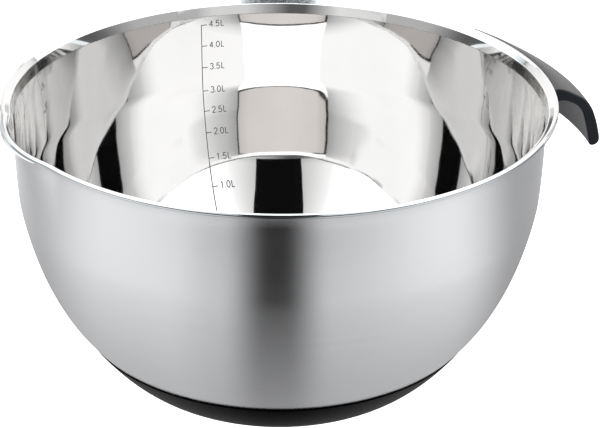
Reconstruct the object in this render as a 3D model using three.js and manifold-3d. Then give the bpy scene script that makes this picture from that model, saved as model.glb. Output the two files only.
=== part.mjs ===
// Prep bowl with a rolled pouring rim, a bonded non-slip base and a screwed side handle.
// Millimetres, +Z up. Origin: centre of the flat underside of the base. +X points to the handle,
// -X to the pouring lip.

import * as THREE from 'three';
import { mergeVertices } from 'three/addons/utils/BufferGeometryUtils.js';
import Module from 'manifold-3d';

const wasm = await Module();
wasm.setup();

// ---------------------------------------------------------------- driving dimensions
const SHELL_T = 0.8;            // sheet thickness of the steel shell
const FLOOR_Z = 5.33;           // inside of the floor above the table
// inside of the wall, radius and height, from the edge of the flat floor to the crease under the rim
const WALL = [
  [61.27, 5.33], [67.71, 6.33], [73.62, 9.09], [78.79, 13.08], [83.36, 17.75], [87.64, 22.7],
  [91.87, 27.69], [96.01, 32.76], [99.85, 38.05], [103.27, 43.63], [106.3, 49.42], [109.02, 55.37],
  [111.42, 61.45], [113.53, 67.64], [115.38, 73.92], [117.02, 80.25], [118.43, 86.64], [119.59, 93.37],
  [120.08, 99.6], [120.43, 106.13], [120.68, 112.67], [120.83, 119.21], [120.97, 125.75], [121.22, 132.28],
  [122.37, 136.3],
];
const BEAD_R = 125.73;          // ring radius of the rolled edge
const BEAD_Z = 138.2;           // height of the rolled edge's centre
const BEAD_A = 1.23;            // radius of the roll itself

const LIP_HALF_DEG = 14.2;      // half width of the pouring lip, seen from the bowl's axis
const LIP_OUT_CREASE = 4.25;    // how far the wall is pushed out at the crease
const LIP_OUT_BEAD = 2.25;      // how far the rolled edge is pushed out
const LIP_DROP_BEAD = 1.0;      // how far the rolled edge dips
const LIP_FOOT_Z = 98.0;        // the push fades out down to this height

const GLUE_T = 0.3;             // bond film
const SEAT_GAP = 0.06;          // play on each side of the film
const GLUE_TOP_Z = 23.5;        // the film ends a little below the boot's edge
const BOOT_TOP_Z = 27.94;       // upper edge of the boot on the wall
const BOOT_EDGE_T = 0.5;        // thickness of that edge
const BOOT_FOOT_R = 59.2;       // flat ring of the boot on the table
const BOOT_CTRL = [75.3, 2.54];  // pull point of the boot's rounded side

const HANDLE_HALF_W = 43.5;     // half width of the handle
const ROOT_GAP = 0.4;           // handle root to wall
const ROOT_BOTTOM_Z = 113.0;    // lower end of the handle's root along the wall
const BRACKET_T = 1.2;          // bracket sheet
const BRACKET_GAP = 0.35;       // bracket to wall, the height of the weld spots
const BRACKET_HALF_W = 20.0;
const BRACKET_BOTTOM_Z = 117.0;
const TONGUE_TOP_Z = 134.1;
const TONGUE_END_R = 134.5;
const PLAY = 0.35;              // handle pocket around the bracket
const SCREW_R = 131.0;          // screw circle from the bowl's axis
const SCREW_SIDE = 11.0;        // screws to either side of the handle's middle
const SCREW_HEAD_R = 2.75;
const SCREW_HEAD_H = 1.9;
const SCREW_SHANK_R = 1.5;
const SCREW_SEAT_Z = 131.9;     // bottom of the head recess in the handle
const SCREW_TIP_Z = 135.8;

const TURNS = 72;               // facets around the bowl

// ---------------------------------------------------------------- helpers
// one closed body: shared corners merged, empty triangles dropped, faces pointing out
function body(geometry) {
  for (const name of Object.keys(geometry.attributes)) if (name !== 'position') geometry.deleteAttribute(name);
  const g = mergeVertices(geometry, 1e-4);
  const p = g.attributes.position;
  const src = g.index.array;
  let tri = [];
  for (let i = 0; i < src.length; i += 3) {
    const [a, b, c] = [src[i], src[i + 1], src[i + 2]];
    if (a !== b && b !== c && c !== a) tri.push(a, b, c);
  }
  let volume = 0;
  const A = new THREE.Vector3(), B = new THREE.Vector3(), C = new THREE.Vector3();
  for (let i = 0; i < tri.length; i += 3) {
    A.fromBufferAttribute(p, tri[i]); B.fromBufferAttribute(p, tri[i + 1]); C.fromBufferAttribute(p, tri[i + 2]);
    volume += A.dot(B.cross(C));
  }
  if (volume < 0) for (let i = 0; i < tri.length; i += 3) [tri[i + 1], tri[i + 2]] = [tri[i + 2], tri[i + 1]];
  g.setIndex(tri);
  g.computeVertexNormals();
  return g;
}

function toSolid(g) {
  return new wasm.Manifold(new wasm.Mesh({
    numProp: 3,
    vertProperties: new Float32Array(g.attributes.position.array),
    triVerts: new Uint32Array(g.index.array),
  }));
}

function fromSolid(m) {
  const mesh = m.getMesh();
  const g = new THREE.BufferGeometry();
  g.setAttribute('position', new THREE.BufferAttribute(new Float32Array(mesh.vertProperties), 3));
  g.setIndex(Array.from(mesh.triVerts));
  g.computeVertexNormals();
  return g;
}

// a profile of [radius, height] turned around the bowl's axis
function turned(profile, turns = TURNS) {
  const g = new THREE.LatheGeometry(profile.map(([r, z]) => new THREE.Vector2(r, z)), turns);
  g.rotateX(Math.PI / 2);
  return body(g);
}

// a closed profile of [radius, height] bent around the bowl's axis, between two parallel flat ends at y = -w and y = w
function bent(profile, halfWidth, steps) {
  let flat = profile.map(([r, z]) => new THREE.Vector2(r, z));
  if (THREE.ShapeUtils.isClockWise(flat)) flat = flat.reverse();
  const n = flat.length;
  const pos = [], idx = [];
  for (let i = 0; i <= steps; i++) {
    const u = -1 + (2 * i) / steps;
    for (const { x: r, y: z } of flat) {
      const a = u * Math.asin(halfWidth / r);
      pos.push(r * Math.cos(a), r * Math.sin(a), z);
    }
  }
  for (let i = 0; i < steps; i++) {
    for (let j = 0; j < n; j++) {
      const a = i * n + j, b = i * n + (j + 1) % n, c = a + n, d = b + n;
      idx.push(b, a, c, b, c, d);
    }
  }
  const end = steps * n;
  for (const [a, b, c] of THREE.ShapeUtils.triangulateShape(flat, [])) {
    const turn = (flat[b].x - flat[a].x) * (flat[c].y - flat[a].y) - (flat[b].y - flat[a].y) * (flat[c].x - flat[a].x);
    if (turn > 0) idx.push(a, b, c, end + a, end + c, end + b);
    else idx.push(a, c, b, end + a, end + b, end + c);
  }
  const g = new THREE.BufferGeometry();
  g.setAttribute('position', new THREE.Float32BufferAttribute(pos, 3));
  g.setIndex(idx);
  return body(g);
}

// outward normals of a polyline that runs from the floor up the wall
function normals(line) {
  return line.map((p, i) => {
    const a = line[Math.max(0, i - 1)], b = line[Math.min(line.length - 1, i + 1)];
    const dx = b[0] - a[0], dz = b[1] - a[1], l = Math.hypot(dx, dz);
    return [dz / l, -dx / l];
  });
}

const inside = [[0, FLOOR_Z], ...WALL];
const out = normals(inside);
out[0] = [0, -1];
out[1] = [0, -1];
const offset = (t) => inside.map(([r, z], i) => [r === 0 ? 0 : r + out[i][0] * t, z + out[i][1] * t]);

// radius of an offset wall line at a height
function radiusAt(line, z) {
  for (let i = 1; i < line.length; i++) {
    const [r0, z0] = line[i - 1], [r1, z1] = line[i];
    if (z >= z0 && z <= z1 && z1 > z0) return r0 + (r1 - r0) * (z - z0) / (z1 - z0);
  }
  return line[line.length - 1][0];
}
// an offset wall line from the axis up to a height
function upTo(line, z) {
  const low = line.filter((p) => p[1] < z - 0.3);
  return [...low, [radiusAt(line, z), z]];
}

const steelOut = offset(SHELL_T);

// ---------------------------------------------------------------- steel shell
// inside from the axis to the crease, the flared flange, round the rolled edge, and back down the outside
const roll = [];
for (const deg of [148, 112, 76, 40, 4, -32, -68, -104, -140]) {
  const a = deg * Math.PI / 180;
  roll.push([BEAD_R + BEAD_A * Math.cos(a), BEAD_Z + BEAD_A * Math.sin(a)]);
}
const outsideDown = [...steelOut].reverse();
outsideDown[0] = [WALL[WALL.length - 1][0] + 0.95, 135.7];
const shellGeo = turned([...inside, ...roll, ...outsideDown]);
{
  // pouring lip on the -X side
  const p = shellGeo.attributes.position;
  const half = LIP_HALF_DEG * Math.PI / 180;
  for (let i = 0; i < p.count; i++) {
    const x = p.getX(i), y = p.getY(i), z = p.getZ(i);
    const r = Math.hypot(x, y);
    if (z < LIP_FOOT_Z || r < 100) continue;
    const off = Math.abs(Math.atan2(y, -x));
    if (off >= half) continue;
    const bell = Math.cos((Math.PI / 2) * off / half);
    const onBead = THREE.MathUtils.smoothstep(z, WALL[WALL.length - 1][1], BEAD_Z - 0.4);
    const rise = Math.min(1, (z - LIP_FOOT_Z) / (WALL[WALL.length - 1][1] - LIP_FOOT_Z));
    const push = bell * (LIP_OUT_CREASE * rise * rise * (1 - onBead) + LIP_OUT_BEAD * onBead);
    const drop = bell * LIP_DROP_BEAD * (rise * rise * 0.4 * (1 - onBead) + onBead);
    p.setXYZ(i, x * (r + push) / r, y * (r + push) / r, z - drop);
  }
  shellGeo.computeVertexNormals();
}

// ---------------------------------------------------------------- bond film and boot
const glueIn = upTo(offset(SHELL_T + SEAT_GAP), GLUE_TOP_Z);
const glueOut = upTo(offset(SHELL_T + SEAT_GAP + GLUE_T), GLUE_TOP_Z);
const glueGeo = turned([...glueIn, ...glueOut.reverse()]);

const bootIn = upTo(offset(SHELL_T + 2 * SEAT_GAP + GLUE_T), BOOT_TOP_Z);
const bootEdge = bootIn[bootIn.length - 1];
const bootTop = [bootEdge[0] + BOOT_EDGE_T, BOOT_TOP_Z - 0.12];
const bootSide = [];
for (let i = 0; i <= 8; i++) {
  const t = i / 8, a = (1 - t) * (1 - t), b = 2 * t * (1 - t), c = t * t;
  bootSide.push([a * bootTop[0] + b * BOOT_CTRL[0] + c * BOOT_FOOT_R, a * bootTop[1] + b * BOOT_CTRL[1]]);
}
const bootGeo = turned([...bootIn, ...bootSide, [0, 0]]);

// ---------------------------------------------------------------- handle
const wallOut = (z) => radiusAt(steelOut, z);
const grip = [
  [wallOut(135.4) + ROOT_GAP, 135.4], [126.0, 136.4], [127.6, 137.4], [130.3, 137.4], [134.0, 135.9], [137.4, 133.9],
  [141.0, 131.7], [143.8, 129.8], [146.3, 127.0], [148.2, 123.8], [149.7, 120.2], [150.9, 116.6], [152.0, 112.5],
  [152.9, 108.6], [152.6, 106.7], [151.2, 105.4], [149.2, 105.1], [147.7, 105.9], [147.2, 107.6], [146.4, 111.0],
  [145.4, 115.0], [144.3, 119.0], [143.3, 122.2], [142.0, 125.0], [139.8, 127.4], [136.6, 129.4], [133.2, 130.9],
  [130.6, 131.2], [128.6, 130.4], [127.4, 128.4], [126.7, 124.5], [126.0, 118.0], [125.2, 114.4], [124.0, ROOT_BOTTOM_Z],
  [wallOut(ROOT_BOTTOM_Z) + ROOT_GAP + 0.3, ROOT_BOTTOM_Z],
  [wallOut(114.5) + ROOT_GAP, 114.5], [wallOut(121) + ROOT_GAP, 121], [wallOut(128.5) + ROOT_GAP, 128.5],
];
// angle profile of the bracket, grown by a play: pad along the wall, tongue outwards at its top
function angle(play, wallSide) {
  const inner = (z) => wallOut(z) + wallSide;
  const outer = (z) => wallOut(z) + BRACKET_GAP + BRACKET_T + play;
  const low = BRACKET_BOTTOM_Z - play, high = TONGUE_TOP_Z + play, under = TONGUE_TOP_Z - BRACKET_T - play;
  return [
    [inner(low), low], [inner(121), 121], [inner(128.5), 128.5], [inner(high), high],
    [TONGUE_END_R + play, high], [TONGUE_END_R + play, under],
    [outer(under) + 0.9, under], [outer(under - 0.9), under - 0.9],
    [outer(128.5), 128.5], [outer(121), 121], [outer(low), low],
  ];
}
const screwAt = [-1, 1].map((side) => {
  const a = side * Math.asin(SCREW_SIDE / SCREW_R);
  return new THREE.Vector3(SCREW_R * Math.cos(a), SCREW_R * Math.sin(a), 0);
});
function peg(radius, z0, z1, at, sides = 20) {
  const g = new THREE.CylinderGeometry(radius, radius, z1 - z0, sides);
  g.rotateX(Math.PI / 2);
  g.translate(at.x, at.y, (z0 + z1) / 2);
  return toSolid(body(g));
}
let gripSolid = toSolid(bent(grip, HANDLE_HALF_W, 20));
gripSolid = gripSolid.subtract(toSolid(bent(angle(PLAY, -0.5), BRACKET_HALF_W + PLAY, 10)));
let bracketSolid = toSolid(bent(angle(0, BRACKET_GAP), BRACKET_HALF_W, 10));
for (const at of screwAt) {
  gripSolid = gripSolid
    .subtract(peg(SCREW_HEAD_R + 0.4, 126.0, SCREW_SEAT_Z, at))
    .subtract(peg(SCREW_SHANK_R + 0.3, 130.0, SCREW_TIP_Z + 0.3, at));
  bracketSolid = bracketSolid.subtract(peg(SCREW_SHANK_R + 0.3, 130.0, 136.0, at));
}
const gripGeo = fromSolid(gripSolid);
const bracketGeo = fromSolid(bracketSolid);

const headTop = SCREW_SEAT_Z - 0.3, headLow = headTop - SCREW_HEAD_H;
function screw() {
  return turned([
    [0, headLow], [1.6, headLow], [2.4, headLow + 0.4], [SCREW_HEAD_R, headLow + 1.0], [SCREW_HEAD_R, headTop],
    [SCREW_SHANK_R, headTop], [SCREW_SHANK_R, SCREW_TIP_Z - 0.6], [0.9, SCREW_TIP_Z], [0, SCREW_TIP_Z],
  ], 20);
}

// ---------------------------------------------------------------- assembly
const steel = () => new THREE.MeshStandardMaterial({ color: 0xc9cacb, roughness: 0.28, metalness: 1.0 });
const rubber = () => new THREE.MeshStandardMaterial({ color: 0x17181b, roughness: 0.75, metalness: 0.0 });
const plastic = () => new THREE.MeshStandardMaterial({ color: 0x36383c, roughness: 0.5, metalness: 0.0 });
const film = () => new THREE.MeshStandardMaterial({ color: 0x8d8a80, roughness: 0.6, metalness: 0.0 });

const bowl = new THREE.Group();
function add(parent, name, geometry, material) {
  const mesh = new THREE.Mesh(geometry, material);
  mesh.name = name;
  parent.add(mesh);
  return mesh;
}
add(bowl, 'bowl_shell', shellGeo, steel());
const base = new THREE.Group();
add(base, 'base_adhesive', glueGeo, film());
add(base, 'base_boot', bootGeo, rubber());
bowl.add(base);
const handle = new THREE.Group();
add(handle, 'handle_grip', gripGeo, plastic());
add(handle, 'handle_bracket', bracketGeo, steel());
['handle_screw_left', 'handle_screw_right'].forEach((name, i) => {
  add(handle, name, screw(), steel()).position.copy(screwAt[1 - i]);
});
bowl.add(handle);

export default bowl;
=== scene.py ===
import math

import bmesh
import bpy
import numpy as np
from mathutils import Matrix, Vector
from mathutils.geometry import tessellate_polygon


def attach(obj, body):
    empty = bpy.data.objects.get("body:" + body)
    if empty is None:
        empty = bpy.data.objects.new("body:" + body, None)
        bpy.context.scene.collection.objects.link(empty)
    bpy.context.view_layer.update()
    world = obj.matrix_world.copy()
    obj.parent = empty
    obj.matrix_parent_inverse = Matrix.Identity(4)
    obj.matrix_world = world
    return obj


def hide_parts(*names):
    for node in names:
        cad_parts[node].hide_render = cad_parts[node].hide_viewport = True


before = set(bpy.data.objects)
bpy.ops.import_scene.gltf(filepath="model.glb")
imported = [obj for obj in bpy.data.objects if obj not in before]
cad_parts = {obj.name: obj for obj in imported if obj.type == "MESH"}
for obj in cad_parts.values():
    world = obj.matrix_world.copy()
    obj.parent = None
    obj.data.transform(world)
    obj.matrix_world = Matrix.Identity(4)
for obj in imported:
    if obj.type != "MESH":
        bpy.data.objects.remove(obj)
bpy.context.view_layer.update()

scene = bpy.context.scene
MM = 0.001
pi = math.pi

# ------------------------------------------------------------------ dimensions, in millimetres, as in the CAD model
SHELL_T = 0.8
FLOOR_Z = 5.33
WALL_R0 = 61.269
WALL_LEN = 154.423
# tangent angle of the inner wall, in degrees, at even steps along it from the flat floor to the rim
WALL_DEG = [0.155, 33.953, 48.854, 50.445, 58.935, 66.153, 72.171, 76.541, 81.092, 83.293, 84.551, 81.572]
WALL_SHOULDER = (4.326, 0.7220, 0.0396)  # a soft shoulder: extra degrees, where along the wall, over how much of it
NECK_Z, NECK_DEG, CREASE_Z = 132.3, 74.0, 137.0  # the wall flares a little just under the rim
LEDGE = (0.4, 0.1)  # the narrow step between the neck and the flange of the rim
BEAD_R, BEAD_Z, BEAD_A = 125.73, 138.2, 1.23
LIP_HALF = math.radians(14.2)
LIP_OUT_CREASE, LIP_OUT_BEAD, LIP_DROP_BEAD, LIP_FOOT_Z = 4.25, 2.25, 1.0, 98.0
BOOT_TOP_Z, BOOT_EDGE_T, BOOT_FOOT_R, BOOT_CTRL = 26.9, 0.3, 59.2, (75.30, 2.54)
SEAT = 0.42
HANDLE_HALF_W, HANDLE_EDGE = 43.5, 1.0
SCALE_AT = math.radians(84.8)
SCALE_MARKS = [("4.5L", 128.01), ("4.0L", 116.71), ("3.5L", 105.04), ("3.0L", 92.52), ("2.5L", 82.09), ("2.0L", 71.17), ("1.5L", 58.61), ("1.0L", 45.19)]
VIEW_TURN = math.radians(-24.5)  # the studio is laid out square to the camera, the part's +X to its handle


# ------------------------------------------------------------------ curves
def spline(values, t):
    """Natural cubic spline through values at even steps, read at t from 0 to 1."""
    y = np.asarray(values, float)
    n = len(y)
    a = np.zeros((n, n))
    b = np.zeros(n)
    a[0, 0] = a[-1, -1] = 1
    for i in range(1, n - 1):
        a[i, i - 1 : i + 2] = 1, 4, 1
        b[i] = 6 * (y[i - 1] - 2 * y[i] + y[i + 1])
    m = np.linalg.solve(a, b)
    x = np.clip(np.asarray(t, float), 0, 1) * (n - 1)
    i = np.minimum(x.astype(int), n - 2)
    u = x - i
    return (m[i] * (1 - u) ** 3 + m[i + 1] * u**3) / 6 + (y[i] - m[i] / 6) * (1 - u) + (y[i + 1] - m[i + 1] / 6) * u


def smooth_step(x):
    x = np.clip(x, 0, 1)
    return x * x * (3 - 2 * x)


def wall_curve(n=1601):
    t = np.linspace(0, 1.03, n)
    extra, at, wide = WALL_SHOULDER
    deg = spline(WALL_DEG, t) + extra * smooth_step((t - at) / wide + 0.5)
    ds = WALL_LEN * (t[1] - t[0])
    ang = np.radians(deg)
    rise = FLOOR_Z + np.concatenate([[0], np.cumsum(0.5 * (np.sin(ang[1:]) + np.sin(ang[:-1])) * ds)])
    ang = ang + (math.radians(NECK_DEG) - ang) * smooth_step((rise - NECK_Z) / 0.1 + 0.5)
    r = WALL_R0 + np.concatenate([[0], np.cumsum(0.5 * (np.cos(ang[1:]) + np.cos(ang[:-1])) * ds)])
    z = FLOOR_Z + np.concatenate([[0], np.cumsum(0.5 * (np.sin(ang[1:]) + np.sin(ang[:-1])) * ds)])
    k = z <= CREASE_Z
    return r[k], z[k], ang[k]


WR, WZ, WA = wall_curve()


def wall_at(z):
    """Radius and tangent angle of the inner wall at a height."""
    return np.interp(z, WZ, WR), np.interp(z, WZ, WA)


def offset_wall(t, n):
    """The wall moved outwards by t, n points from the flat floor to the crease."""
    k = np.linspace(0, len(WR) - 1, n).astype(int)
    return np.stack([WR[k] + t * np.sin(WA[k]), WZ[k] - t * np.cos(WA[k])], 1)


def chaikin(loop, rounds, closed=True):
    p = np.asarray(loop, float)
    for _ in range(rounds):
        q = np.roll(p, -1, 0) if closed else p[1:]
        a = p if closed else p[:-1]
        new = np.empty((2 * len(a), 2))
        new[0::2] = 0.75 * a + 0.25 * q
        new[1::2] = 0.25 * a + 0.75 * q
        p = new if closed else np.concatenate([p[:1], new, p[-1:]])
    return p


def resample(loop, step, closed=True):
    p = np.asarray(loop, float)
    if closed:
        p = np.concatenate([p, p[:1]])
    s = np.concatenate([[0], np.cumsum(np.linalg.norm(np.diff(p, axis=0), axis=1))])
    n = max(4, int(round(s[-1] / step)))
    t = np.linspace(0, s[-1], n + 1)
    out = np.stack([np.interp(t, s, p[:, 0]), np.interp(t, s, p[:, 1])], 1)
    return out[:-1] if closed else out


# ------------------------------------------------------------------ mesh helpers
def make(name, verts, faces, smooth=True):
    mesh = bpy.data.meshes.new(name)
    mesh.from_pydata([tuple(v) for v in verts], [], faces)
    mesh.validate()
    mesh.update()
    if smooth:
        mesh.polygons.foreach_set("use_smooth", [True] * len(mesh.polygons))
    obj = bpy.data.objects.new(name, mesh)
    scene.collection.objects.link(obj)
    return obj


def lathe(name, profile, turns):
    """A profile of (radius, height) in mm, from axis to axis, turned around Z. Returns the object and, per face, the profile step."""
    profile = [tuple(p) for p in profile]
    verts, rings = [], []
    for r, z in profile:
        if r < 1e-6:
            rings.append([len(verts)])
            verts.append((0, 0, z * MM))
        else:
            ring = []
            for k in range(turns):
                a = 2 * pi * k / turns
                ring.append(len(verts))
                verts.append((r * math.cos(a) * MM, r * math.sin(a) * MM, z * MM))
            rings.append(ring)
    faces, step = [], []
    for i in range(len(rings) - 1):
        a, b = rings[i], rings[i + 1]
        for k in range(turns):
            n = (k + 1) % turns
            if len(a) == 1 and len(b) == 1:
                continue
            if len(a) == 1:
                f = (a[0], b[n], b[k])
            elif len(b) == 1:
                f = (a[k], a[n], b[0])
            else:
                f = (a[k], a[n], b[n], b[k])
            faces.append(f)
            step.append(i)
    return make(name, verts, faces), step


def outward(obj):
    bm = bmesh.new()
    bm.from_mesh(obj.data)
    bmesh.ops.recalc_face_normals(bm, faces=bm.faces)
    bm.to_mesh(obj.data)
    bm.free()
    obj.data.update()


def piece(obj, slot, *nodes):
    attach(obj, "root")
    if nodes:
        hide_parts(*nodes)
    return obj


# ------------------------------------------------------------------ materials
class Nodes:
    """Small helper for building a node material."""

    def __init__(self, name):
        self.mat = bpy.data.materials.new(name)
        self.mat.use_nodes = True
        self.tree = self.mat.node_tree
        self.bsdf = next(n for n in self.tree.nodes if n.type == "BSDF_PRINCIPLED")

    def new(self, kind, **values):
        n = self.tree.nodes.new(kind)
        for k, v in values.items():
            if k in n.inputs:
                n.inputs[k].default_value = v
            else:
                setattr(n, k, v)
        return n

    def link(self, a, b):
        self.tree.links.new(a, b)

    def coords(self, scale=(1, 1, 1)):
        tc = self.new("ShaderNodeTexCoord")
        mp = self.new("ShaderNodeMapping")
        mp.inputs["Scale"].default_value = scale
        self.link(tc.outputs["Object"], mp.inputs["Vector"])
        return mp.outputs["Vector"]

    def noise(self, scale=(1, 1, 1), detail=3.0, rough=0.5):
        n = self.new("ShaderNodeTexNoise")
        n.inputs["Scale"].default_value = 1.0
        n.inputs["Detail"].default_value = detail
        n.inputs["Roughness"].default_value = rough
        self.link(self.coords(scale), n.inputs["Vector"])
        return n.outputs["Fac"]

    def ramp(self, fac, stops):
        r = self.new("ShaderNodeValToRGB")
        e = r.color_ramp.elements
        while len(e) < len(stops):
            e.new(0.5)
        for el, (pos, col) in zip(e, stops):
            el.position = pos
            el.color = (*col, 1) if len(col) == 3 else col
        self.link(fac, r.inputs["Fac"])
        return r.outputs["Color"]

    def spread(self, fac, lo, hi, a=0.3, b=0.7):
        m = self.new("ShaderNodeMapRange")
        m.inputs["From Min"].default_value = a
        m.inputs["From Max"].default_value = b
        m.inputs["To Min"].default_value = lo
        m.inputs["To Max"].default_value = hi
        self.link(fac, m.inputs["Value"])
        return m.outputs["Result"]

    def math(self, op, a, b):
        m = self.new("ShaderNodeMath", operation=op)
        for i, v in enumerate((a, b)):
            if isinstance(v, (int, float)):
                m.inputs[i].default_value = v
            else:
                self.link(v, m.inputs[i])
        return m.outputs[0]

    def bump(self, height, strength, distance, normal=None):
        b = self.new("ShaderNodeBump")
        b.inputs["Strength"].default_value = strength
        b.inputs["Distance"].default_value = distance
        self.link(height, b.inputs["Height"])
        if normal is not None:
            self.link(normal, b.inputs["Normal"])
        return b.outputs["Normal"]

    def grazing_gloss(self, lo, hi, a=0.2, b=0.62):
        w = self.new("ShaderNodeLayerWeight")
        w.inputs["Blend"].default_value = 0.5
        self.link(self.spread(w.outputs["Facing"], lo, hi, a, b), self.bsdf.inputs["Specular IOR Level"])

    def set(self, **values):
        for k, v in values.items():
            self.bsdf.inputs[k.replace("_", " ")].default_value = v


def polished_steel():
    m = Nodes("steel_polished")
    m.set(Metallic=1.0)
    tint = m.noise((18, 18, 30), 2.0)
    # the flatter the sheet is looked at, the more it mirrors
    lean = m.new("ShaderNodeLayerWeight", Blend=0.5)
    mirror = m.ramp(lean.outputs["Facing"], [(0.34, (0.640, 0.638, 0.635)), (0.50, (0.690, 0.688, 0.685)), (0.62, (0.780, 0.778, 0.774)), (0.80, (0.850, 0.848, 0.845))])
    mix = m.new("ShaderNodeMix", data_type="RGBA", blend_type="MULTIPLY")
    next(i for i in mix.inputs if i.type == "VALUE" and i.name == "Factor").default_value = 1.0
    m.link(mirror, next(i for i in mix.inputs if i.type == "RGBA" and i.name == "A"))
    m.link(m.ramp(tint, [(0.3, (0.96, 0.96, 0.96)), (0.7, (1.0, 1.0, 1.0))]), next(i for i in mix.inputs if i.type == "RGBA" and i.name == "B"))
    m.link(next(o for o in mix.outputs if o.type == "RGBA"), m.bsdf.inputs["Base Color"])
    fine = m.noise((60, 60, 2600), 4.0, 0.6)
    m.link(m.spread(fine, 0.018, 0.045), m.bsdf.inputs["Roughness"])
    # slow unevenness left by drawing and polishing
    wave = m.noise((34, 34, 60), 1.0, 0.4)
    hair = m.noise((90, 90, 5200), 2.0, 0.5)
    n = m.bump(wave, 1.0, 0.00006)
    m.link(m.bump(hair, 0.02, 0.00001, n), m.bsdf.inputs["Normal"])
    return m.mat


def rim_steel():
    m = Nodes("steel_rim")
    m.set(Metallic=1.0)
    tint = m.noise((40, 40, 40), 2.0)
    m.link(m.ramp(tint, [(0.3, (0.530, 0.556, 0.572)), (0.7, (0.560, 0.588, 0.604))]), m.bsdf.inputs["Base Color"])
    fine = m.noise((700, 700, 1400), 4.0, 0.6)
    m.link(m.spread(fine, 0.07, 0.13), m.bsdf.inputs["Roughness"])
    m.link(m.bump(fine, 0.04, 0.00002), m.bsdf.inputs["Normal"])
    return m.mat


def satin_steel():
    m = Nodes("steel_satin")
    m.set(Metallic=1.0, Anisotropic=0.8, Anisotropic_Rotation=0.25)
    streak = m.noise((16, 16, 5200), 5.0, 0.62)
    broad = m.noise((7, 7, 420), 3.0, 0.55)
    mixed = m.math("ADD", m.math("MULTIPLY", streak, 0.65), m.math("MULTIPLY", broad, 0.35))
    m.link(m.ramp(mixed, [(0.3, (0.616, 0.621, 0.629)), (0.7, (0.648, 0.653, 0.661))]), m.bsdf.inputs["Base Color"])
    m.link(m.spread(mixed, 0.215, 0.275), m.bsdf.inputs["Roughness"])
    tangent = m.new("ShaderNodeTangent", direction_type="RADIAL", axis="Z")
    m.link(tangent.outputs["Tangent"], m.bsdf.inputs["Tangent"])
    m.link(m.bump(streak, 0.02, 0.00002), m.bsdf.inputs["Normal"])
    return m.mat


def boot_rubber():
    m = Nodes("boot_rubber")
    m.grazing_gloss(0.0, 0.17, 0.6, 0.97)
    grain = m.noise((1500, 1500, 1500), 3.0, 0.6)
    patch = m.noise((45, 45, 45), 3.0, 0.5)
    m.link(m.ramp(patch, [(0.35, (0.0011, 0.0013, 0.0018)), (0.65, (0.0019, 0.0021, 0.0027))]), m.bsdf.inputs["Base Color"])
    m.link(m.spread(grain, 0.46, 0.62), m.bsdf.inputs["Roughness"])
    m.link(m.bump(grain, 0.25, 0.00006), m.bsdf.inputs["Normal"])
    return m.mat


def handle_plastic(name, dark, light):
    m = Nodes(name)
    m.set(Specular_Tint=(0.92, 0.96, 1.0, 1))
    m.grazing_gloss(0.085, 0.27, 0.25, 0.6)
    grain = m.noise((2300, 2300, 2300), 2.0, 0.55)
    patch = m.noise((60, 60, 60), 3.0, 0.5)
    m.link(m.ramp(patch, [(0.3, dark), (0.7, light)]), m.bsdf.inputs["Base Color"])
    m.link(m.spread(grain, 0.40, 0.52), m.bsdf.inputs["Roughness"])
    m.link(m.bump(grain, 0.18, 0.00004), m.bsdf.inputs["Normal"])
    return m.mat


def etched():
    m = Nodes("etched_scale")
    m.set(Metallic=0.55)
    g = m.noise((3000, 3000, 3000), 2.0, 0.6)
    m.link(m.ramp(g, [(0.3, (0.040, 0.040, 0.042)), (0.7, (0.066, 0.066, 0.069))]), m.bsdf.inputs["Base Color"])
    m.link(m.spread(g, 0.5, 0.7), m.bsdf.inputs["Roughness"])
    return m.mat


def sheet_steel(name, lo, hi, rough):
    m = Nodes(name)
    m.set(Metallic=1.0)
    g = m.noise((300, 300, 900), 4.0, 0.6)
    m.link(m.ramp(g, [(0.3, lo), (0.7, hi)]), m.bsdf.inputs["Base Color"])
    m.link(m.spread(g, rough - 0.06, rough + 0.08), m.bsdf.inputs["Roughness"])
    m.link(m.bump(g, 0.1, 0.00003), m.bsdf.inputs["Normal"])
    return m.mat


def bond_film():
    m = Nodes("bond_film")
    g = m.noise((400, 400, 400), 3.0, 0.6)
    m.link(m.ramp(g, [(0.3, (0.40, 0.39, 0.355)), (0.7, (0.48, 0.47, 0.43))]), m.bsdf.inputs["Base Color"])
    m.link(m.spread(g, 0.45, 0.65), m.bsdf.inputs["Roughness"])
    m.link(m.bump(g, 0.2, 0.00005), m.bsdf.inputs["Normal"])
    return m.mat


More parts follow.
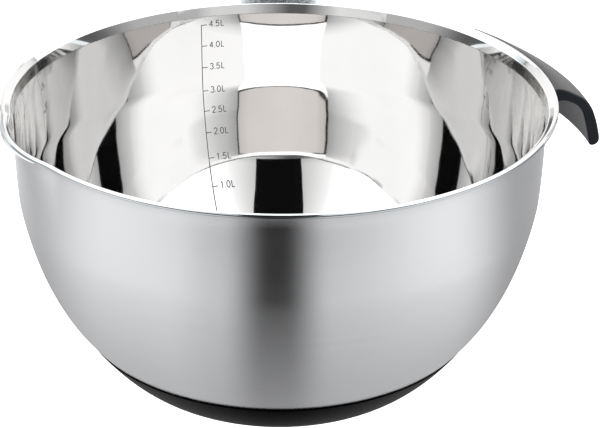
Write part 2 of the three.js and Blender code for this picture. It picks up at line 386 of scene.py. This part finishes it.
# ------------------------------------------------------------------ bowl shell
def build_shell():
    inner = [(0.0, FLOOR_Z)] + [(r, FLOOR_Z) for r in np.linspace(4, WALL_R0, 8)[:-1]]
    turn = int(np.argmax(WZ > NECK_Z))
    at = sorted(set(np.linspace(0, len(WR) - 1, 150).astype(int)) | set(range(turn - 2, turn + 3)))
    inner += [(WR[k], WZ[k]) for k in at]
    nr, nz = WR[-1], WZ[-1]
    cr, cz = nr + LEDGE[0], nz + LEDGE[1]
    # flange: from the step up to where it runs into the roll, tangent to it
    d = math.hypot(BEAD_R - cr, BEAD_Z - cz)
    fl = math.atan2(BEAD_Z - cz, BEAD_R - cr) + math.asin(BEAD_A / d)
    touch = fl + pi / 2
    tx, tz = BEAD_R + BEAD_A * math.cos(touch), BEAD_Z + BEAD_A * math.sin(touch)
    back = math.radians(NECK_DEG)
    inner = inner[:-1] + [(nr - 0.03 * math.cos(back), nz - 0.03 * math.sin(back)), (nr, nz)]
    ledge = [(nr + LEDGE[0] * u, nz + LEDGE[1] * u) for u in (0.06, 0.5, 0.94, 1.0)]
    flange = [(cr + (tx - cr) * u, cz + (tz - cz) * u) for u in (0.015, 0.15, 0.3, 0.45, 0.6, 0.75, 0.9)]
    end = math.radians(-150)
    roll = [(BEAD_R + BEAD_A * math.cos(a), BEAD_Z + BEAD_A * math.sin(a)) for a in np.linspace(touch, end, 25)]
    first_out = len(inner) + len(ledge) + len(flange) + 18
    # back down the outside: neck under the roll, then the wall
    ow = offset_wall(SHELL_T, 72)[::-1]
    neck = [(ow[0][0] + 0.85, ow[0][1] + 0.95), (ow[0][0] + 0.35, ow[0][1] + 0.45)]
    outer = neck + [tuple(p) for p in ow] + [(r, FLOOR_Z - SHELL_T) for r in np.linspace(WALL_R0, 4, 6)[1:]] + [(0.0, FLOOR_Z - SHELL_T)]
    rim_from = len(inner) - 1
    profile = inner + ledge + flange + roll + outer
    turns = 352
    obj, step = lathe("bowl_shell_steel", profile, turns)
    mesh = obj.data
    n = len(mesh.vertices)
    co = np.empty(n * 3)
    mesh.vertices.foreach_get("co", co)
    co = co.reshape(-1, 3) / MM
    # pouring lip on the -X side
    r = np.hypot(co[:, 0], co[:, 1])
    off = np.abs(np.arctan2(co[:, 1], -co[:, 0])) / LIP_HALF
    soft = 0.05
    bell = soft * np.log1p(np.exp(np.clip(np.cos(np.clip(off, 0, 2) * pi / 2) / soft, -40, 40)))
    bell *= (off < 1.6) & (r > 100)
    on_bead = smooth_step((co[:, 2] - cz) / (BEAD_Z - 0.4 - cz))
    rise = np.clip((co[:, 2] - LIP_FOOT_Z) / (cz - LIP_FOOT_Z), 0, 1)
    push = bell * (LIP_OUT_CREASE * rise**2 * (1 - on_bead) + LIP_OUT_BEAD * on_bead)
    drop = bell * LIP_DROP_BEAD * (0.4 * rise**2 * (1 - on_bead) + on_bead)
    s = (r + push) / np.maximum(r, 1e-9)
    co[:, 0] *= s
    co[:, 1] *= s
    co[:, 2] -= drop
    mesh.vertices.foreach_set("co", (co * MM).ravel())
    mesh.update()
    outward(obj)
    mesh.materials.append(polished_steel())
    mesh.materials.append(satin_steel())
    mesh.materials.append(rim_steel())
    mesh.polygons.foreach_set("material_index", [1 if s_ >= first_out else 2 if s_ >= rim_from else 0 for s_ in step])
    mesh.update()
    return piece(obj, "shell_steel", "bowl_shell")


# ------------------------------------------------------------------ etched litre scale on the inner wall
def on_wall(u, z, lift=0.05):
    """u: mm along the wall to the right of the scale's line as seen from inside; z: height."""
    r, a = wall_at(z)
    r, z = r - lift * np.sin(a), z + lift * np.cos(a)
    t = SCALE_AT - u / r
    return (r * math.cos(t) * MM, r * math.sin(t) * MM, z * MM)


def strip(verts, faces, path, width):
    """A closed hair-thin band of that width along a path of (u, z)."""
    p = np.asarray(path, float)
    d = np.gradient(p, axis=0)
    d /= np.linalg.norm(d, axis=1)[:, None]
    nrm = np.stack([-d[:, 1], d[:, 0]], 1) * width / 2
    base = len(verts)
    for a, b in zip(p + nrm, p - nrm):
        verts += [on_wall(*a), on_wall(*b), on_wall(*b, 0.015), on_wall(*a, 0.015)]
    for i in range(len(p) - 1):
        k = base + 4 * i
        for j in range(4):
            m = (j + 1) % 4
            faces.append((k + j, k + m, k + 4 + m, k + 4 + j))
    last = base + 4 * (len(p) - 1)
    faces += [(base + 3, base + 2, base + 1, base), (last, last + 1, last + 2, last + 3)]


def arc(cx, cy, rx, ry, a0, a1, n=14):
    return [(cx + rx * math.cos(math.radians(a)), cy + ry * math.sin(math.radians(a))) for a in np.linspace(a0, a1, n)]


# numerals and the litre letter as pen strokes in a cell 0.62 wide and 1 high
STROKES = {
    "0": [arc(0.31, 0.5, 0.25, 0.46, 90, 450, 28)],
    "1": [[(0.12, 0.80), (0.24, 0.86), (0.34, 0.96), (0.34, 0.5), (0.34, 0.04)]],
    "2": [arc(0.31, 0.70, 0.24, 0.26, 170, -25, 16) + [(0.40, 0.44), (0.22, 0.22), (0.07, 0.06)], [(0.07, 0.05), (0.3, 0.05), (0.57, 0.05)]],
    "3": [arc(0.29, 0.73, 0.22, 0.23, 160, -85, 16), arc(0.29, 0.27, 0.25, 0.24, 85, -160, 18)],
    "4": [[(0.43, 0.04), (0.43, 0.5), (0.43, 0.96)], [(0.43, 0.95), (0.24, 0.63), (0.05, 0.30)], [(0.05, 0.29), (0.3, 0.29), (0.58, 0.29)]],
    "5": [[(0.52, 0.94), (0.32, 0.94), (0.14, 0.94)], [(0.14, 0.95), (0.11, 0.72), (0.09, 0.50)], arc(0.29, 0.32, 0.25, 0.29, 140, -155, 20)],
    ".": [[(0.06, 0.02), (0.06, 0.06), (0.06, 0.11)]],
    "L": [[(0.12, 0.96), (0.12, 0.5), (0.12, 0.04)], [(0.12, 0.05), (0.3, 0.05), (0.52, 0.05)]],
}


def build_scale():
    verts, faces = [], []
    top = SCALE_MARKS[0][1]
    strip(verts, faces, [(0, z) for z in np.linspace(top + 0.12, 56.0, 90)], 0.38)
    strip(verts, faces, [(0, z) for z in np.linspace(56.0, 31.0, 40)], 0.52)
    high = 3.35
    for text, z in SCALE_MARKS:
        thick = 0.38 if z > 56 else 0.46
        strip(verts, faces, [(u, z) for u in np.linspace(0, 2.9, 8)], thick)
        u = 4.1
        for ch in text:
            for st in STROKES[ch]:
                strip(verts, faces, [(u + x * high, z - 0.15 - high / 2 + 0.55 + y * high) for x, y in st], thick if ch != "." else thick + 0.06)
            u += high * (0.26 if ch == "." else 0.74)
    obj = make("litre_scale", verts, faces, False)
    outward(obj)
    obj.data.materials.append(etched())
    return piece(obj, "shell_steel")


# ------------------------------------------------------------------ non-slip boot
def build_boot():
    inn = offset_wall(SHELL_T + SEAT, 300)
    low = inn[0][1]
    inn = [tuple(p) for p in inn if p[1] < BOOT_TOP_Z - 0.05]
    a = np.array(inn[-1])
    top = (a[0] + 0.02, BOOT_TOP_Z)
    edge = (np.interp(BOOT_TOP_Z, [p[1] for p in inn], [p[0] for p in inn]) + BOOT_EDGE_T, BOOT_TOP_Z - 0.12)
    side = []
    for t in np.linspace(0, 1, 60):
        b0, b1, b2 = (1 - t) ** 2, 2 * t * (1 - t), t * t
        side.append((b0 * edge[0] + b1 * BOOT_CTRL[0] + b2 * BOOT_FOOT_R, b0 * edge[1] + b1 * BOOT_CTRL[1]))
    rim = [(edge[0] - 0.42, BOOT_TOP_Z + 0.02), (edge[0] - 0.24, BOOT_TOP_Z + 0.03), (edge[0] - 0.08, BOOT_TOP_Z - 0.02)]
    # underside: fine concentric grip grooves between flat lands
    under = []
    r = BOOT_FOOT_R - 3.0
    while r > 38:
        under += [(r, 0.0), (r - 0.35, 0.55), (r - 1.15, 0.55), (r - 1.5, 0.0)]
        r -= 4.0
    profile = [(0.0, low)] + [(x, low) for x in np.linspace(5, inn[0][0], 10)[:-1]] + inn + [top] + rim + side + under + [(20.0, 0.0), (0.0, 0.0)]
    obj, _ = lathe("base_boot_moulded", profile, 240)
    outward(obj)
    obj.data.materials.append(boot_rubber())
    return piece(obj, "boot_rubber", "base_boot")


# ------------------------------------------------------------------ side handle
def grip_profile():
    wall = lambda z: float(np.interp(z, WZ, WR)) + SHELL_T
    return [
        (wall(135.2) + 0.45, 135.2), (126.0, 136.4), (127.6, 137.3), (130.3, 137.4), (134.0, 135.9), (137.4, 133.9), (141.0, 131.7),
        (143.8, 129.8), (146.3, 127.0), (148.2, 123.8), (149.7, 120.2), (150.9, 116.6), (152.0, 112.5), (152.9, 108.6), (152.7, 106.6),
        (151.3, 105.3), (149.2, 105.0), (147.6, 105.8), (147.2, 107.6), (146.4, 111.0), (145.4, 115.0), (144.3, 119.0), (143.3, 122.2),
        (142.0, 125.0), (139.8, 127.4), (136.6, 129.4), (133.2, 130.9), (130.6, 131.2), (128.6, 130.4), (127.4, 128.4), (126.7, 124.5),
        (126.0, 118.0), (125.2, 114.4), (124.0, 113.0), (wall(113.0) + 0.7, 113.0), (wall(114.5) + 0.42, 114.5), (wall(121.0) + 0.42, 121.0),
        (wall(128.5) + 0.42, 128.5),
    ]


def inset(loop, d):
    p = np.asarray(loop, float)
    t = np.roll(p, -1, 0) - np.roll(p, 1, 0)
    t /= np.linalg.norm(t, axis=1)[:, None]
    area = 0.5 * np.sum(p[:, 0] * np.roll(p[:, 1], -1) - np.roll(p[:, 0], -1) * p[:, 1])
    nrm = np.stack([-t[:, 1], t[:, 0]], 1) * (1 if area > 0 else -1)
    return p + nrm * d


def bent(name, rings):
    """Rings of (profile, sideways offset in mm) joined into one body bent around the bowl's axis."""
    verts, faces = [], []
    n = len(rings[0][0])
    for prof, y in rings:
        for r, z in prof:
            a = math.asin(max(-1, min(1, y / r)))
            verts.append((r * math.cos(a) * MM, y * MM, z * MM))
    for i in range(len(rings) - 1):
        for j in range(n):
            k = (j + 1) % n
            faces.append((i * n + j, i * n + k, (i + 1) * n + k, (i + 1) * n + j))
    for first, (prof, _) in ((0, rings[0]), ((len(rings) - 1) * n, rings[-1])):
        for tri in tessellate_polygon([[Vector((r, z, 0)) for r, z in prof]]):
            faces.append(tuple(first + k for k in tri))
    obj = make(name, verts, faces)
    outward(obj)
    return obj


def angle_profile(play, wall_side):
    wall = lambda z: float(np.interp(z, WZ, WR)) + SHELL_T
    inner = lambda z: wall(z) + wall_side
    outer = lambda z: wall(z) + 0.35 + 1.2 + play
    low, high, under = 117.0 - play, 134.1 + play, 132.9 - play
    return [
        (inner(low), low), (inner(121), 121), (inner(128.5), 128.5), (inner(high), high), (134.5 + play, high), (134.5 + play, under),
        (outer(under) + 0.9, under), (outer(under - 0.9), under - 0.9), (outer(128.5), 128.5), (outer(121), 121), (outer(low), low),
    ]


def cut(obj, tool):
    mod = obj.modifiers.new("cut", "BOOLEAN")
    mod.operation = "DIFFERENCE"
    mod.solver = "EXACT"
    mod.object = tool
    bpy.context.view_layer.update()
    dg = bpy.context.evaluated_depsgraph_get()
    mesh = bpy.data.meshes.new_from_object(obj.evaluated_get(dg))
    obj.modifiers.clear()
    old = obj.data
    obj.data = mesh
    bpy.data.meshes.remove(old)
    bpy.data.objects.remove(tool)


def peg(name, x, y, radius, z0, z1, sides=40):
    verts, faces = [], []
    for z in (z0, z1):
        for k in range(sides):
            a = 2 * pi * k / sides
            verts.append(((x + radius * math.cos(a)) * MM, (y + radius * math.sin(a)) * MM, z * MM))
    for k in range(sides):
        n = (k + 1) % sides
        faces.append((k, n, sides + n, sides + k))
    faces.append(tuple(reversed(range(sides))))
    faces.append(tuple(range(sides, 2 * sides)))
    return make(name, verts, faces)


SCREWS = {"left": 11.0, "right": -11.0}
SCREW_X = math.sqrt(131.0**2 - 11.0**2)


def build_handle():
    loop = resample(chaikin(grip_profile(), 2), 0.55)
    rings = []
    e = HANDLE_EDGE
    for k in range(9):
        a = pi / 2 * k / 8
        rings.append((inset(loop, e * (1 - math.sin(a))), -HANDLE_HALF_W + e * (1 - math.cos(a))))
    for y in np.linspace(-HANDLE_HALF_W + e, HANDLE_HALF_W - e, 48)[1:-1]:
        rings.append((loop, y))
    for k in range(9):
        a = pi / 2 * (1 - k / 8)
        rings.append((inset(loop, e * (1 - math.sin(a))), HANDLE_HALF_W - e * (1 - math.cos(a))))
    obj = bent("handle_grip_moulded", rings)
    pocket = [(angle_profile(0.35, -0.6), y) for y in np.linspace(-20.35, 20.35, 16)]
    cut(obj, bent("pocket_tool", pocket))
    for y in SCREWS.values():
        cut(obj, peg("recess_tool", SCREW_X, y, 3.15, 126.0, 131.9))
        cut(obj, peg("hole_tool", SCREW_X, y, 1.8, 130.0, 136.1))
    obj.data.polygons.foreach_set("use_smooth", [True] * len(obj.data.polygons))
    obj.data.set_sharp_from_angle(angle=math.radians(38))
    obj.data.materials.clear()
    obj.data.materials.append(handle_plastic("handle_soft_touch", (0.0082, 0.0098, 0.0125), (0.0115, 0.0134, 0.0165)))
    # painted light: faces turned towards the bowl, where the bright steel wall throws light back, get a paler copy of
    # the plastic
    obj.data.materials.append(handle_plastic("handle_hollow_side_painted_light", (0.052, 0.050, 0.058), (0.068, 0.066, 0.075)))
    obj.data.polygons.foreach_set("material_index", [1 if p.normal.x < -0.72 else 0 for p in obj.data.polygons])
    return piece(obj, "handle_plastic", "handle_grip")


def build_screw(side, y, mat):
    low, top, tip = 129.7, 131.6, 135.8
    prof = [(0, low + 0.02), (0.5, low), (1.2, low + 0.03), (1.9, low + 0.16), (2.4, low + 0.45), (2.68, low + 0.9), (2.75, low + 1.3), (2.75, top - 0.06), (2.69, top), (1.5, top)]
    z = top
    while z < tip - 0.7:
        prof += [(1.22, z + 0.12), (1.22, z + 0.2), (1.5, z + 0.38), (1.5, z + 0.46)]
        z += 0.5
    prof += [(0.9, tip), (0, tip)]
    obj, _ = lathe("handle_screw_" + side + "_cross", prof, 48)
    outward(obj)
    # cross recess in the head
    for turn in (0.0, pi / 2):
        verts = []
        c, s = math.cos(turn + 0.4), math.sin(turn + 0.4)
        for zz, h, w in ((low - 0.4, 1.55, 0.34), (low + 0.95, 0.75, 0.20)):
            for a, b in ((-h, -w), (h, -w), (h, w), (-h, w)):
                verts.append(((a * c - b * s) * MM, (a * s + b * c) * MM, zz * MM))
        tool = make("cross_tool", verts, [(0, 3, 2, 1), (4, 5, 6, 7), (0, 1, 5, 4), (1, 2, 6, 5), (2, 3, 7, 6), (3, 0, 4, 7)], False)
        outward(tool)
        cut(obj, tool)
    obj.data.transform(Matrix.Translation((SCREW_X * MM, y * MM, 0)))
    obj.data.polygons.foreach_set("use_smooth", [True] * len(obj.data.polygons))
    obj.data.set_sharp_from_angle(angle=math.radians(35))
    obj.data.materials.clear()
    obj.data.materials.append(mat)
    return piece(obj, "screw_steel", "handle_screw_" + side)


shell = build_shell()
scale = build_scale()
boot = build_boot()
handle = build_handle()
screw_mat = sheet_steel("steel_turned", (0.52, 0.52, 0.53), (0.68, 0.68, 0.69), 0.28)
for side, y in SCREWS.items():
    build_screw(side, y, screw_mat)
for name, mat in (("handle_bracket", sheet_steel("steel_pressed", (0.56, 0.56, 0.56), (0.70, 0.70, 0.70), 0.33)), ("base_adhesive", bond_film())):
    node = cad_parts[name]
    for s in node.material_slots:
        s.link = "OBJECT"
        s.material = mat


# ------------------------------------------------------------------ studio: pale floor, white tent, dark camera opening
TURN = Matrix.Rotation(VIEW_TURN, 4, "Z")


def emitter(name, colour, strength):
    mat = bpy.data.materials.new(name)
    mat.use_nodes = True
    t = mat.node_tree
    t.nodes.clear()
    e = t.nodes.new("ShaderNodeEmission")
    e.inputs["Color"].default_value = (*colour, 1)
    e.inputs["Strength"].default_value = strength
    o = t.nodes.new("ShaderNodeOutputMaterial")
    t.links.new(e.outputs[0], o.inputs["Surface"])
    return mat


def card(name, corners, mat):
    """A flat panel of the tent, in millimetres square to the camera. Seen in reflections, not by the camera itself."""
    obj = make(name, [tuple(TURN @ (Vector(c) * MM)) for c in corners], [tuple(range(len(corners)))], False)
    obj.data.materials.append(mat)
    obj.visible_camera = False
    obj.visible_shadow = False
    return obj


def ramp_of(t, value, stops):
    rp = t.nodes.new("ShaderNodeValToRGB")
    e = rp.color_ramp.elements
    while len(e) < len(stops):
        e.new(0.5)
    for el, (at, c) in zip(e, stops):
        el.position = at
        el.color = (c, c, c, 1) if isinstance(c, (int, float)) else (*c, 1)
    t.links.new(value, rp.inputs["Fac"])
    return rp.outputs["Color"]


def glow(name, axes, level, blend="MULTIPLY"):
    """Emission graded along one of the object's own axes, or along two of them blended together."""
    mat = bpy.data.materials.new(name)
    mat.use_nodes = True
    t = mat.node_tree
    t.nodes.clear()
    tc = t.nodes.new("ShaderNodeTexCoord")
    sx = t.nodes.new("ShaderNodeSeparateXYZ")
    t.links.new(tc.outputs["Object"], sx.inputs["Vector"])
    colour = None
    for axis, stops in axes:
        c = ramp_of(t, sx.outputs[axis], stops)
        if colour is None:
            colour = c
        else:
            mix = t.nodes.new("ShaderNodeMix")
            mix.data_type = "RGBA"
            mix.blend_type = blend
            next(k for k in mix.inputs if k.type == "VALUE" and k.name == "Factor").default_value = 1.0
            t.links.new(colour, next(k for k in mix.inputs if k.type == "RGBA" and k.name == "A"))
            t.links.new(c, next(k for k in mix.inputs if k.type == "RGBA" and k.name == "B"))
            colour = next(k for k in mix.outputs if k.type == "RGBA")
    em = t.nodes.new("ShaderNodeEmission")
    em.inputs["Strength"].default_value = level
    t.links.new(colour, em.inputs["Color"])
    o = t.nodes.new("ShaderNodeOutputMaterial")
    t.links.new(em.outputs[0], o.inputs["Surface"])
    return mat


def graded(name, corner, along, up_, stops, level=1.0, rise=None, blend="MULTIPLY"):
    """A panel from a corner, graded along its first side and, with rise, also along its second. Millimetres, square to the camera."""
    obj = make(name, [(0, 0, 0), (1, 0, 0), (1, 1, 0), (0, 1, 0)], [(0, 1, 2, 3)], False)
    obj.data.materials.append(glow(name, [("X", stops)] + ([("Y", rise)] if rise else []), level, blend))
    a, b = Vector(along) * MM, Vector(up_) * MM
    frame_ = Matrix((a, b, a.cross(b).normalized())).transposed().to_4x4()
    frame_.translation = Vector(corner) * MM
    obj.matrix_world = TURN @ frame_
    obj.visible_camera = False
    obj.visible_shadow = False
    return obj


dark = emitter("tent_opening", (0.006, 0.006, 0.006), 1.0)
frame_dark = emitter("tent_seam", (0.02, 0.02, 0.02), 1.0)
TENT = 2.4
SEAM_Z = 535
LEFT_X, RIGHT_X = -537, 627

# opening for the camera, wider at its top, with cloth that darkens towards it on both sides and towards the table
card("opening", [(-77, -450, -5), (77, -450, -5), (235, -450, 1500), (-235, -450, 1500)], dark)
card("opening_left", [(5, -436, 259), (-96, -436, 259), (-246, -436, 1465), (5, -436, 1465)], dark)
card("opening_right", [(-5, -450.5, 259), (98, -450.5, 259), (277, -450.5, 1500), (-5, -450.5, 1500)], dark)
card("opening_low", [(-77, -449, -5), (77, -449, -5), (103, -449, 246), (-103, -449, 246)], emitter("tent_opening_low", (0.05, 0.05, 0.05), 1.0))
edge = [(0.0, 0.33), (0.11, 0.38), (0.40, 0.48), (0.82, 0.62), (1.0, 0.74)]
low = [(0.0, 0.05), (0.107, 0.06), (0.131, 0.08), (0.15, 0.20), (0.167, 0.35), (0.185, 0.62), (0.20, 0.78), (0.225, 1.0), (1.0, 1.0)]
far_edge = [(0.0, 0.74), (0.15, 0.80), (0.45, 0.93), (0.8, 1.0), (1.0, 1.0)]
far_low = [(0.0, 0.05), (0.107, 0.06), (0.131, 0.08), (0.147, 0.15), (0.167, 0.28), (0.205, 0.33), (0.213, 0.44), (0.224, 0.75), (0.239, 1.0), (1.0, 1.0)]
for side, name in ((1, "right"), (-1, "left")):
    graded("cloth_front_" + name, (77 * side, -451, -5), (190 * side, 0, 0), (137 * side, 0, 1305), edge, TENT, low)
    graded("cloth_front_outer_" + name, (267 * side, -451, -5), (260 * side, 0, 0), (137 * side, 0, 1305), far_edge, TENT, far_low)
    graded("cloth_front_lap_" + name, (190 * side, -500, -5), (260 * side, 0, 0), (0, 0, 1305), [(0.0, 0.74), (1.0, 0.80)], TENT, far_low)
# back wall with its seams, lit cloth above it and dimmer cloth to both sides
# hem of the front cloth, just above the height of the rim
hem = [(-535, 0.8), (-500, 1.1), (-245, 1.16), (-95, 0.16), (-35, 0.16), (130, 1.0), (290, 1.04), (385, 0.7), (535, 0.66)]
graded("cloth_front_hem", (-519, -430, 241), (1038, 0, 0), (0, 0, 17), [((x + 535) / 1070, e) for x, e in hem])

graded("back_wall", (LEFT_X, 700, 0), (RIGHT_X - LEFT_X, 0, 0), (0, 0, SEAM_Z), [(0.0, (0.77, 0.735, 0.71)), (0.14, (0.92, 0.875, 0.85)), (0.5, (0.98, 0.93, 0.905)), (0.86, (0.92, 0.875, 0.85)), (1.0, (0.72, 0.69, 0.665))], 1.75)
card("seam_left", [(LEFT_X - 25, 699, 0), (LEFT_X, 699, 0), (LEFT_X, 699, SEAM_Z + 25), (LEFT_X - 25, 699, SEAM_Z + 25)], frame_dark)
card("seam_right", [(RIGHT_X, 699, 0), (RIGHT_X + 48, 699, 0), (RIGHT_X + 48, 699, SEAM_Z + 25), (RIGHT_X, 699, SEAM_Z + 25)], frame_dark)
card("seam_top", [(LEFT_X - 25, 698, SEAM_Z - 4), (RIGHT_X + 48, 698, SEAM_Z - 4), (RIGHT_X + 48, 698, SEAM_Z + 25), (LEFT_X - 25, 698, SEAM_Z + 25)], frame_dark)
graded("cloth_back_top", (LEFT_X - 25, 700, SEAM_Z + 25), (RIGHT_X - LEFT_X + 73, 0, 0), (0, 0, 1300), [(0.0, 1.0), (1.0, 1.0)], 3.0)
corner = [(0.0, 0.36), (0.115, 0.52), (0.225, 0.60), (0.35, 0.69), (0.6, 0.78), (0.75, 0.84), (1.0, 0.98)]
fade = [(0.0, 0.0), (0.5, 0.0), (0.62, 0.12), (0.74, 0.5), (0.88, 0.8), (1.0, 1.0)]
graded("cloth_back_left", (LEFT_X - 25, 701, 0), (-1400, -500, 0), (0, 0, 900), corner, TENT, fade, "SCREEN")
graded("cloth_back_right", (RIGHT_X + 48, 701, 0), (1400, -500, 0), (0, 0, 900), corner, TENT, fade, "SCREEN")


# foot of the tent all round, dim near the table
def tent_foot(name, first, high, stops, radius=1150, turns=48):
    verts = [(radius * math.cos(first + pi * k / turns) * MM, radius * math.sin(first + pi * k / turns) * MM, z * MM) for z in (0, high) for k in range(turns + 1)]
    faces = [(k, k + 1, turns + k + 2, turns + k + 1) for k in range(turns)]
    obj = make(name, verts, faces)
    obj.data.materials.append(glow(name, [("Z", stops)], TENT))
    obj.visible_camera = False
    obj.visible_shadow = False


dim = [(0.0, 0.06), (0.195, 0.065), (0.216, 0.09), (0.237, 0.15), (0.277, 0.28), (0.345, 0.30)]
tent_foot("tent_foot_back", VIEW_TURN, 375, dim + [(0.375, 0.56)])
tent_foot("tent_foot_front", VIEW_TURN + pi, 470, dim + [(0.37, 0.42), (0.40, 0.75), (0.43, 0.95), (0.46, 1.0)])

world = bpy.data.worlds.new("studio")
scene.world = world
world.use_nodes = True
bg = world.node_tree.nodes["Background"]
bg.inputs["Color"].default_value = (1.0, 1.0, 1.0, 1)
bg.inputs["Strength"].default_value = TENT

# pale floor, lit evenly so that it reads as plain white
floor_mat = Nodes("floor_pale")
floor_mat.set(Base_Color=(0.90, 0.90, 0.90, 1), Roughness=0.9, Specular_IOR_Level=0.1, Emission_Color=(1, 1, 1, 1), Emission_Strength=1.0)
fl = make("floor", [(-4, -4, -0.0004), (4, -4, -0.0004), (4, 4, -0.0004), (-4, 4, -0.0004)], [(0, 1, 2, 3)], False)
fl.data.materials.append(floor_mat.mat)
fl.visible_glossy = False
fl.visible_diffuse = False

# what the satin outside mirrors: the table top, bright at both sides, dimmer behind and dark towards the camera, with
# painted shade close to the bowl's foot where the bowl would shadow it
def table_top():
    mat = bpy.data.materials.new("table_top_lit")
    mat.use_nodes = True
    t = mat.node_tree
    t.nodes.clear()
    tc = t.nodes.new("ShaderNodeTexCoord")
    gr = t.nodes.new("ShaderNodeTexGradient")
    gr.gradient_type = "RADIAL"
    t.links.new(tc.outputs["Object"], gr.inputs["Vector"])

    def ring(stops):
        rp = t.nodes.new("ShaderNodeValToRGB")
        rp.color_ramp.interpolation = "EASE"
        e = rp.color_ramp.elements
        while len(e) < len(stops):
            e.new(0.5)
        for el, (at, v) in zip(e, stops):
            el.position = at
            el.color = (v, v, v * 1.01, 1)
        t.links.new(gr.outputs["Fac"], rp.inputs["Fac"])
        return rp.outputs["Color"]

    far = ring([(0.0, 1.15), (0.06, 1.45), (0.15, 0.66), (0.20, 0.60), (0.32, 1.14), (0.39, 1.10), (0.445, 0.84), (0.489, 0.0), (0.506, 0.0), (0.550, 0.86), (0.68, 1.16), (0.79, 0.45), (0.84, 0.46), (1.0, 1.15)])
    # painted shade: close to the bowl's foot the table glows dimmer, standing in for the bowl's shadow on it
    near = ring([(0.0, 0.18), (0.15, 0.20), (0.25, 0.40), (0.42, 0.52), (0.485, 0.43), (0.515, 0.43), (0.58, 0.50), (0.75, 0.40), (0.86, 0.15), (1.0, 0.18)])
    ln = t.nodes.new("ShaderNodeVectorMath")
    ln.operation = "LENGTH"
    t.links.new(tc.outputs["Object"], ln.inputs[0])
    mr = t.nodes.new("ShaderNodeMapRange")
    mr.interpolation_type = "SMOOTHSTEP"
    mr.inputs["From Min"].default_value = 0.015
    mr.inputs["From Max"].default_value = 0.305
    t.links.new(ln.outputs["Value"], mr.inputs["Value"])
    mx = t.nodes.new("ShaderNodeMix")
    mx.data_type = "RGBA"
    t.links.new(mr.outputs["Result"], next(i for i in mx.inputs if i.type == "VALUE" and i.name == "Factor"))
    t.links.new(near, next(i for i in mx.inputs if i.type == "RGBA" and i.name == "A"))
    t.links.new(far, next(i for i in mx.inputs if i.type == "RGBA" and i.name == "B"))
    rp_out = next(o for o in mx.outputs if o.type == "RGBA")
    em = t.nodes.new("ShaderNodeEmission")
    em.inputs["Strength"].default_value = 1.12
    t.links.new(rp_out, em.inputs["Color"])
    o = t.nodes.new("ShaderNodeOutputMaterial")
    t.links.new(em.outputs[0], o.inputs["Surface"])
    return mat


top = make("table_top", [(1.2 * math.cos(2 * pi * k / 64), 1.2 * math.sin(2 * pi * k / 64), 0) for k in range(64)], [tuple(range(64))], False)
top.data.materials.append(table_top())
top.matrix_world = TURN @ Matrix.Rotation(-pi / 2, 4, "Z") @ Matrix.Translation((0, 0, -0.0002))
top.visible_camera = False
top.visible_shadow = False

# ------------------------------------------------------------------ camera
cam_data = bpy.data.cameras.new("camera")
cam = bpy.data.objects.new("camera", cam_data)
scene.collection.objects.link(cam)
cam_data.sensor_fit = "HORIZONTAL"
cam_data.sensor_width = 36.0
cam_data.lens = 2138.0 / 600 * 36
cam_data.clip_start, cam_data.clip_end = 0.05, 50
pos = Vector((0.0, -0.90134, 0.51984))
right = Vector((0.99993253, -0.00601459, 0.00993774))
up = Vector((-0.00627478, 0.44028251, 0.89783737))
look = Vector((0.00977554, 0.89783915, -0.44021506))
m = Matrix((right, up, -look)).transposed().to_4x4()
m.translation = pos
cam.matrix_world = TURN @ m
scene.camera = cam

scene.view_settings.view_transform = "Standard"
scene.view_settings.look = "None"
scene.cycles.max_bounces = 24
scene.cycles.glossy_bounces = 20
scene.cycles.use_denoising = True
scene.cycles.sample_clamp_indirect = 8.0

bpy.context.view_layer.update()
